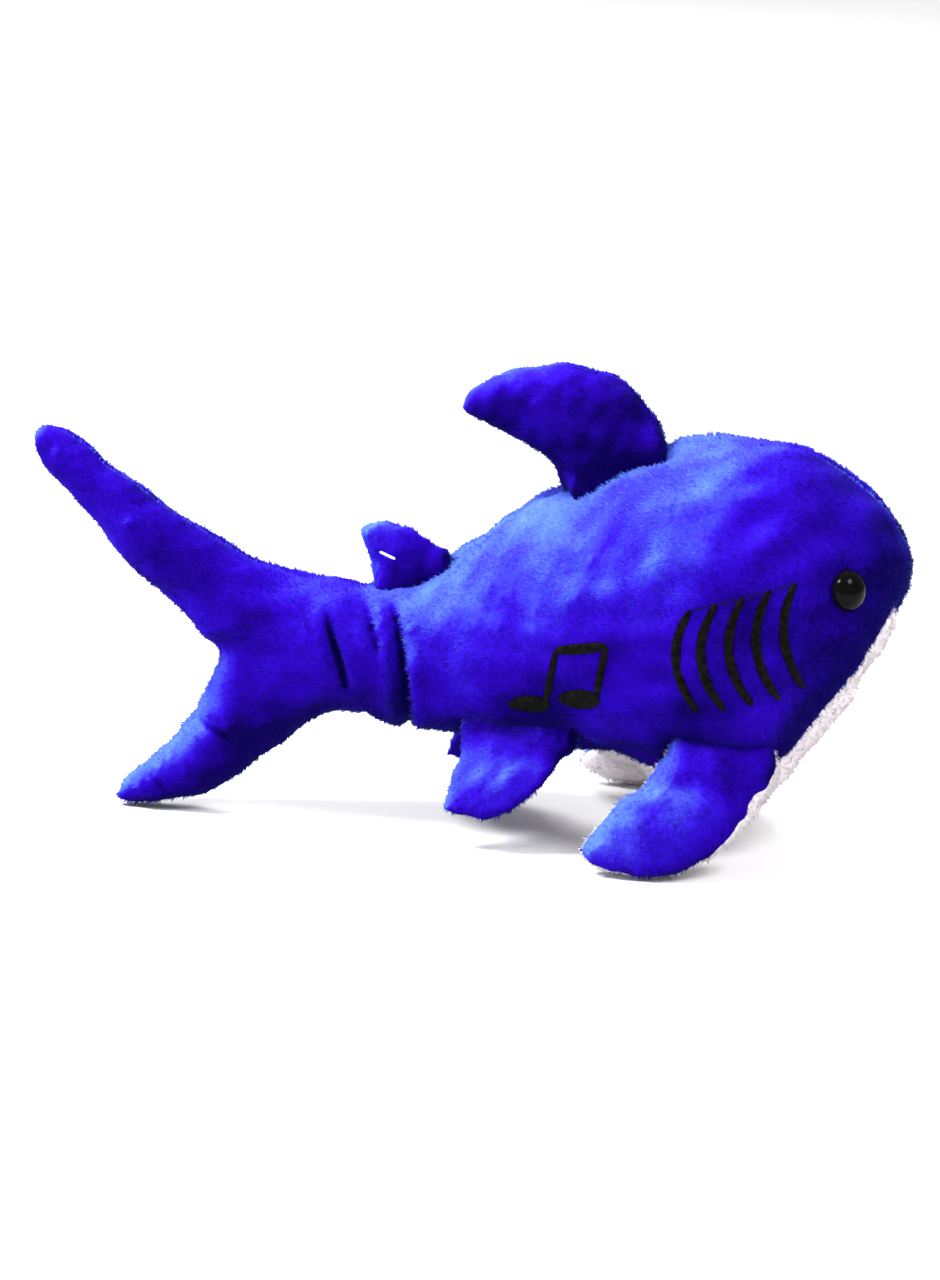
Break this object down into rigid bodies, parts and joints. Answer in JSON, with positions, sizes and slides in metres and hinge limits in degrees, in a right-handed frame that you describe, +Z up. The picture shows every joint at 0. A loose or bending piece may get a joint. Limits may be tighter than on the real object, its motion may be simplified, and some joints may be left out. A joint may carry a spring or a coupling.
{
  "type": "plush shark",
  "caption": "Stuffed plush shark with a deep rounded body, swept fins and a forked tail, embroidered gills, safety eyes and a press-to-play sound module inside.",
  "frame": {"origin": "on the ground under the middle of the bounding box, with the toy standing on its pectoral fins and lower tail lobe", "axes": "+X towards the nose, +Y the shark's left side, +Z up"},
  "size_m": [0.2674, 0.1098, 0.1431],
  "materials": {
    "blue_plush": "short-pile plush with a soft sheen",
    "white_plush": "short-pile plush",
    "fibrefill": "loose polyester fibre",
    "black_thread": "satin stitch",
    "eye_plastic": "polished",
    "white_nylon": "smooth",
    "case_plastic": "moulded",
    "button_plastic": "moulded",
    "circuit_board": "solder resist",
    "steel": "plated",
    "speaker_paper": "pressed paper"
  },
  "bodies": {
    "body": {"skin_right": "blue_plush", "skin_left": "blue_plush", "belly_panel": "white_plush", "body_stuffing": "fibrefill", "eye_right": "eye_plastic", "eye_left": "eye_plastic", "eye_washer_right": "white_nylon", "eye_washer_left": "white_nylon", "gill_right_1": "black_thread", "gill_right_2": "black_thread", "gill_right_3": "black_thread", "gill_right_4": "black_thread", "gill_right_5": "black_thread", "gill_left_1": "black_thread", "gill_left_2": "black_thread", "gill_left_3": "black_thread", "gill_left_4": "black_thread", "gill_left_5": "black_thread", "note_embroidery": "black_thread", "tag_loop": "white_nylon", "sound_case_front": "case_plastic", "sound_case_back": "case_plastic", "battery_cover": "case_plastic", "button_spring": "steel", "contact_switch": "button_plastic", "circuit_board": "circuit_board", "speaker_frame": "steel", "speaker_cone": "speaker_paper", "speaker_magnet": "steel", "button_cell_1": "steel", "button_cell_2": "steel", "button_cell_3": "steel", "case_screw_1": "steel", "case_screw_2": "steel", "case_screw_3": "steel"},
    "tail": {"tail_skin_right": "blue_plush", "tail_skin_left": "blue_plush", "tail_stuffing": "fibrefill"},
    "dorsal_fin": {"dorsal_fin_right_panel": "blue_plush", "dorsal_fin_left_panel": "blue_plush", "dorsal_fin_stuffing": "fibrefill"},
    "rear_dorsal_fin": {"rear_dorsal_fin_right_panel": "blue_plush", "rear_dorsal_fin_left_panel": "blue_plush", "tag_bar": "white_nylon"},
    "pectoral_right": {"pectoral_right_top_panel": "blue_plush", "pectoral_right_under_panel": "white_plush", "pectoral_right_stuffing": "fibrefill"},
    "pectoral_left": {"pectoral_left_top_panel": "blue_plush", "pectoral_left_under_panel": "white_plush", "pectoral_left_stuffing": "fibrefill"},
    "pelvic_right": {"pelvic_right_outer_panel": "blue_plush", "pelvic_right_inner_panel": "blue_plush"},
    "pelvic_left": {"pelvic_left_outer_panel": "blue_plush", "pelvic_left_inner_panel": "blue_plush"},
    "button": {"sound_button": "button_plastic"}
  },
  "joints": [
    {"name": "tail_wag", "type": "hinge", "parent": "body", "child": "tail", "pos_m": [-0.0519, 0, 0.0497], "axis": [0, 0, 1], "range_deg": [-25, 25], "stiffness_Nm_per_rad": 0.5},
    {"name": "dorsal_fin_lean", "type": "hinge", "parent": "body", "child": "dorsal_fin", "pos_m": [0.04285, 0, 0.11382], "axis": [0.9141, 0, 0.4055], "range_deg": [-16, 16], "stiffness_Nm_per_rad": 0.15},
    {"name": "rear_dorsal_fin_lean", "type": "hinge", "parent": "body", "child": "rear_dorsal_fin", "pos_m": [-0.0169, 0, 0.07772], "axis": [0.9504, 0, 0.311], "range_deg": [-20, 20], "stiffness_Nm_per_rad": 0.03},
    {"name": "pectoral_right_flap", "type": "hinge", "parent": "body", "child": "pectoral_right", "pos_m": [0.0771, -0.0378, 0.03132], "axis": [-1, 0, 0], "range_deg": [-2, 45], "stiffness_Nm_per_rad": 0.4},
    {"name": "pectoral_left_flap", "type": "hinge", "parent": "body", "child": "pectoral_left", "pos_m": [0.0771, 0.0378, 0.03132], "axis": [1, 0, 0], "range_deg": [-2, 45], "stiffness_Nm_per_rad": 0.4},
    {"name": "pelvic_right_flap", "type": "hinge", "parent": "body", "child": "pelvic_right", "pos_m": [0.0171, -0.0234, 0.03212], "axis": [-0.9632, 0.2689, 0], "range_deg": [-5, 40], "stiffness_Nm_per_rad": 0.03},
    {"name": "pelvic_left_flap", "type": "hinge", "parent": "body", "child": "pelvic_left", "pos_m": [0.0171, 0.0234, 0.03212], "axis": [0.9632, 0.2689, 0], "range_deg": [-5, 40], "stiffness_Nm_per_rad": 0.03},
    {"name": "sound_button_press", "type": "slide", "parent": "body", "child": "button", "axis": [0.3206, 0.9472, 0], "range_m": [0, 0.0025], "stiffness_N_per_m": 400, "springref_m": -0.002, "deforming": ["button_spring"]}
  ]
}
